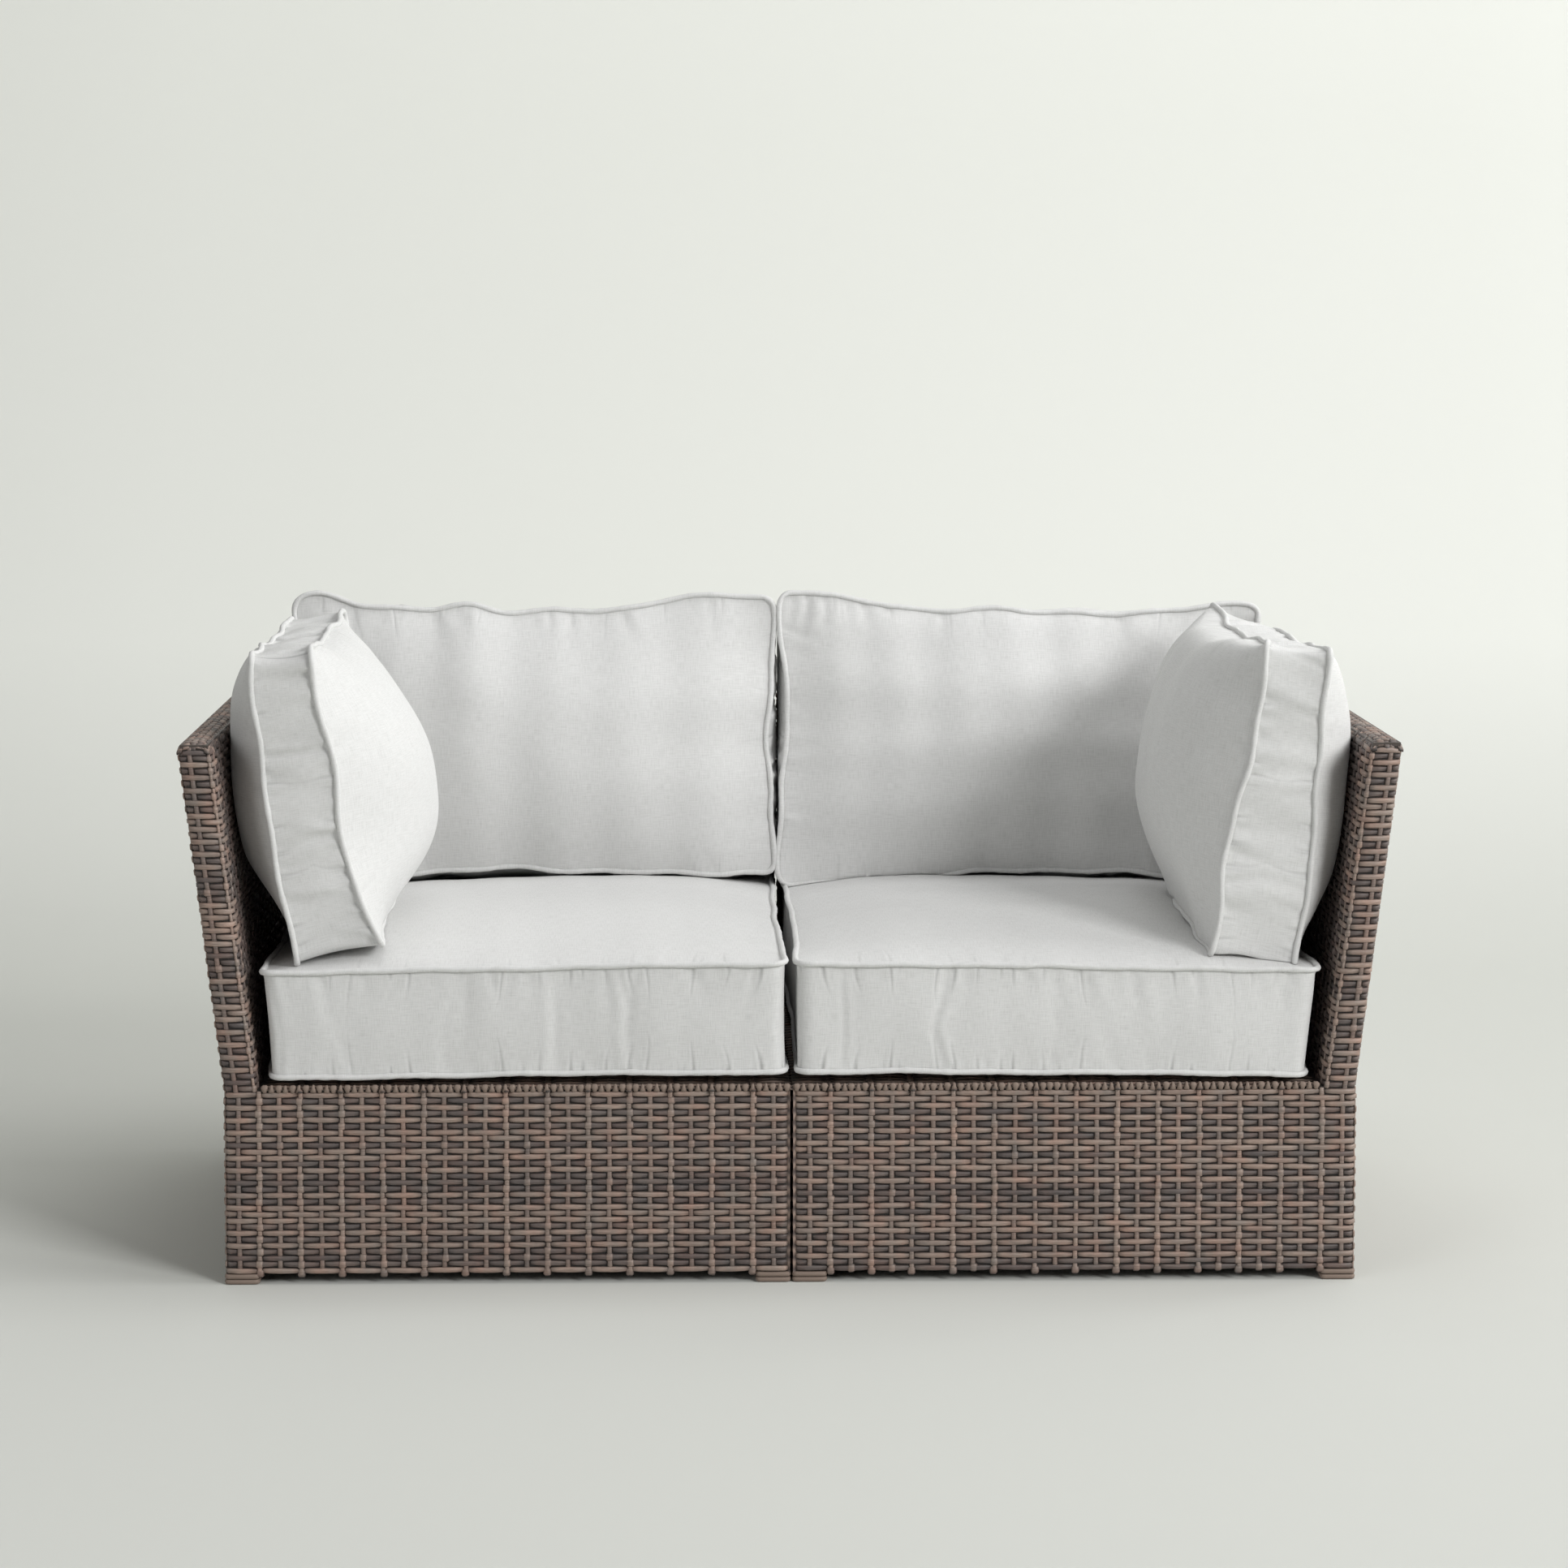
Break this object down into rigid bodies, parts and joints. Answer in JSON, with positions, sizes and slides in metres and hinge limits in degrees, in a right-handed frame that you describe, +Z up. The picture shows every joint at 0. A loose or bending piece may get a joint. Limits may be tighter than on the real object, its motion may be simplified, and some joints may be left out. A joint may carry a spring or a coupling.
{
  "type": "patio loveseat",
  "caption": "Low outdoor loveseat of mirrored woven-resin corner modules with leaning arm and back panels, holding loose piped seat, back and side cushions",
  "frame": {"origin": "on the ground, under the middle of the loveseat's box", "axes": "+X to the sitter's left, seen from the front to the right; +Y from the front to the rear; +Z up"},
  "size_m": [1.536, 0.766, 0.8032],
  "materials": {
    "wicker": "half-matt flat resin strand, mixed light tan and dark grey-brown",
    "frame_tube": "dark brown powder coat on square tube",
    "cushion_fabric": "light grey linen-look woven polyester with a piped seam",
    "cushion_filling": "foam wrapped in polyester fibre",
    "black_plastic": "moulded, finely textured"
  },
  "bodies": {
    "frame": {"front_clip": "black_plastic", "glides": "black_plastic", "left_arm_top_rail": "frame_tube", "left_arm_weave": "wicker", "left_back_top_rail": "frame_tube", "left_back_weave": "wicker", "left_base_front_weave": "wicker", "left_base_inner_weave": "wicker", "left_base_outer_weave": "wicker", "left_base_rear_weave": "wicker", "left_deck_slats": "frame_tube", "left_deck_weave": "wicker", "left_front_deck_rail": "frame_tube", "left_front_inner_leg": "frame_tube", "left_front_lower_rail": "frame_tube", "left_front_outer_post": "frame_tube", "left_inner_deck_rail": "frame_tube", "left_inner_lower_rail": "frame_tube", "left_outer_deck_rail": "frame_tube", "left_outer_lower_rail": "frame_tube", "left_rear_deck_rail": "frame_tube", "left_rear_inner_post": "frame_tube", "left_rear_lower_rail": "frame_tube", "left_rear_outer_post": "frame_tube", "leg_wraps": "wicker", "rear_clip": "black_plastic", "right_arm_top_rail": "frame_tube", "right_arm_weave": "wicker", "right_back_top_rail": "frame_tube", "right_back_weave": "wicker", "right_base_front_weave": "wicker", "right_base_inner_weave": "wicker", "right_base_outer_weave": "wicker", "right_base_rear_weave": "wicker", "right_deck_slats": "frame_tube", "right_deck_weave": "wicker", "right_front_deck_rail": "frame_tube", "right_front_inner_leg": "frame_tube", "right_front_lower_rail": "frame_tube", "right_front_outer_post": "frame_tube", "right_inner_deck_rail": "frame_tube", "right_inner_lower_rail": "frame_tube", "right_outer_deck_rail": "frame_tube", "right_outer_lower_rail": "frame_tube", "right_rear_deck_rail": "frame_tube", "right_rear_inner_post": "frame_tube", "right_rear_lower_rail": "frame_tube", "right_rear_outer_post": "frame_tube"},
    "right_seat_cushion": {"right_seat_cushion_cover": "cushion_fabric", "right_seat_cushion_core": "cushion_filling"},
    "right_back_cushion": {"right_back_cushion_cover": "cushion_fabric", "right_back_cushion_core": "cushion_filling"},
    "right_side_cushion": {"right_side_cushion_cover": "cushion_fabric", "right_side_cushion_core": "cushion_filling"},
    "left_seat_cushion": {"left_seat_cushion_cover": "cushion_fabric", "left_seat_cushion_core": "cushion_filling"},
    "left_back_cushion": {"left_back_cushion_cover": "cushion_fabric", "left_back_cushion_core": "cushion_filling"},
    "left_side_cushion": {"left_side_cushion_cover": "cushion_fabric", "left_side_cushion_core": "cushion_filling"}
  },
  "joints": [
    {"name": "right_seat_lift", "type": "slide", "parent": "frame", "child": "right_seat_cushion", "axis": [0, 0, 1], "range_m": [0, 0.3]},
    {"name": "right_back_lift", "type": "slide", "parent": "right_seat_cushion", "child": "right_back_cushion", "axis": [0, 0.1239, 0.9923], "range_m": [0, 0.3]},
    {"name": "right_side_lift", "type": "slide", "parent": "right_seat_cushion", "child": "right_side_cushion", "axis": [0, 0, 1], "range_m": [0, 0.3]},
    {"name": "left_seat_lift", "type": "slide", "parent": "frame", "child": "left_seat_cushion", "axis": [0, 0, 1], "range_m": [0, 0.3]},
    {"name": "left_back_lift", "type": "slide", "parent": "left_seat_cushion", "child": "left_back_cushion", "axis": [0, 0.1239, 0.9923], "range_m": [0, 0.3]},
    {"name": "left_side_lift", "type": "slide", "parent": "left_seat_cushion", "child": "left_side_cushion", "axis": [0, 0, 1], "range_m": [0, 0.3]}
  ]
}
